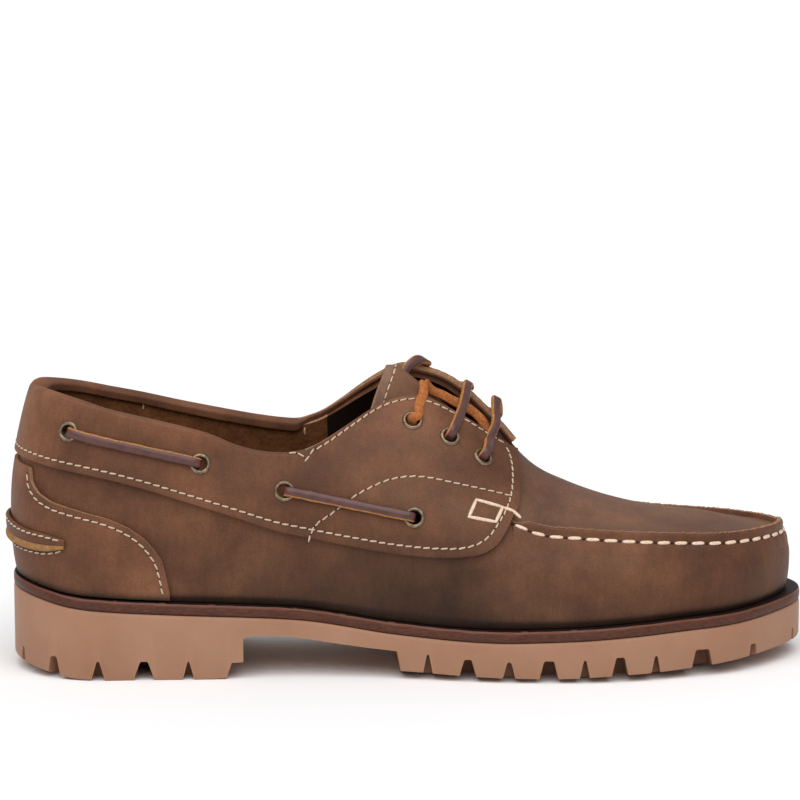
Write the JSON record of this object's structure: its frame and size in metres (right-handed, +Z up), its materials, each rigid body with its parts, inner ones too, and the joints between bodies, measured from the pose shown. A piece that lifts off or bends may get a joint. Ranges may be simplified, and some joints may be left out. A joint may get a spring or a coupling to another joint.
{
  "type": "boat shoe",
  "caption": "Brown leather boat shoe for the right foot, with a moccasin apron, side lacing through eyelets, a heel strap and a thick rubber lug sole.",
  "frame": {"origin": "on the floor under the middle of the heel, on the flat of a heel lug", "axes": "+X to the toe, +Y to the inner side of the foot, +Z up"},
  "size_m": [0.3039, 0.1045, 0.1139],
  "materials": {
    "gum_rubber": "matt gum rubber",
    "welt_leather": "dark waxed welt",
    "lining_leather": "suede lining",
    "upper_leather": "oiled pull-up leather",
    "eyelet_metal": "antique brass",
    "lace_leather": "rawhide lace with pale cut edges"
  },
  "bodies": {
    "root": {"outsole": "gum_rubber", "welt_board": "welt_leather", "insole": "lining_leather", "upper": "upper_leather", "tongue": "upper_leather", "saddle_band": "upper_leather", "heel_counter": "upper_leather", "heel_strap": "upper_leather", "apron_seam": "upper_leather", "eyelet_outer_side_1": "eyelet_metal", "eyelet_outer_side_2": "eyelet_metal", "eyelet_outer_side_3": "eyelet_metal", "eyelet_outer_side_4": "eyelet_metal", "eyelet_outer_stay_1": "eyelet_metal", "eyelet_outer_stay_2": "eyelet_metal", "eyelet_outer_stay_3": "eyelet_metal", "eyelet_inner_side_1": "eyelet_metal", "eyelet_inner_side_2": "eyelet_metal", "eyelet_inner_side_3": "eyelet_metal", "eyelet_inner_side_4": "eyelet_metal", "eyelet_inner_stay_1": "eyelet_metal", "eyelet_inner_stay_2": "eyelet_metal", "eyelet_inner_stay_3": "eyelet_metal", "lace_outer_rear": "lace_leather", "lace_outer_front": "lace_leather", "lace_inner_rear": "lace_leather", "lace_inner_front": "lace_leather", "lace_bar_1": "lace_leather", "lace_bar_2": "lace_leather", "lace_bar_3": "lace_leather"}
  },
  "joints": []
}
